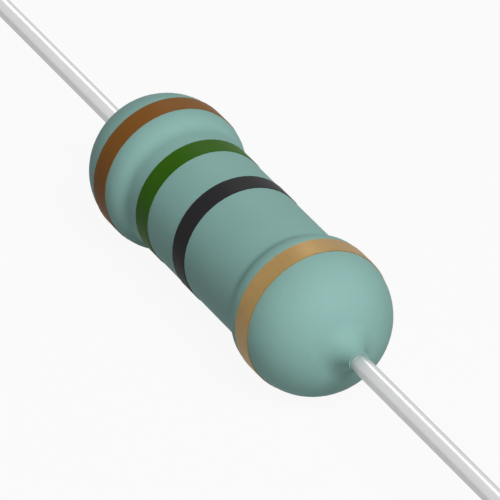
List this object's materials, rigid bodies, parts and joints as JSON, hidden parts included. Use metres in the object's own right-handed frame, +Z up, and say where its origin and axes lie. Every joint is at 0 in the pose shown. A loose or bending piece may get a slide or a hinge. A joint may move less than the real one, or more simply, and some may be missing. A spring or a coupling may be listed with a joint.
{
  "type": "power resistor",
  "caption": "Axial wire-wound power resistor: lacquered dog-bone body with colour bands and a straight tinned lead at each end, for soldering to a board.",
  "frame": {"origin": "centre of the body, on the axis of the leads", "axes": "+X along the leads, from the first (brown) band to the last (gold) band; +Z up"},
  "size_m": [0.0774, 0.0066, 0.0066],
  "materials": {
    "teal_lacquer": "satin fired lacquer, teal green",
    "brown_ink": "satin printed ink, brown",
    "green_ink": "satin printed ink, green",
    "black_ink": "satin printed ink, black",
    "gold_ink": "metallic printed ink, gold",
    "alumina": "unglazed, off-white",
    "resistance_wire": "bright drawn nickel-chromium wire",
    "tinned_steel": "bright tin plate",
    "tinned_copper": "bright tin plate over copper"
  },
  "bodies": {
    "root": {"ceramic_rod": "alumina", "resistance_winding": "resistance_wire", "left_end_cap": "tinned_steel", "right_end_cap": "tinned_steel", "left_lead": "tinned_copper", "right_lead": "tinned_copper", "coating": "teal_lacquer", "brown_band": "brown_ink", "green_band": "green_ink", "black_band": "black_ink", "gold_band": "gold_ink"}
  },
  "joints": []
}
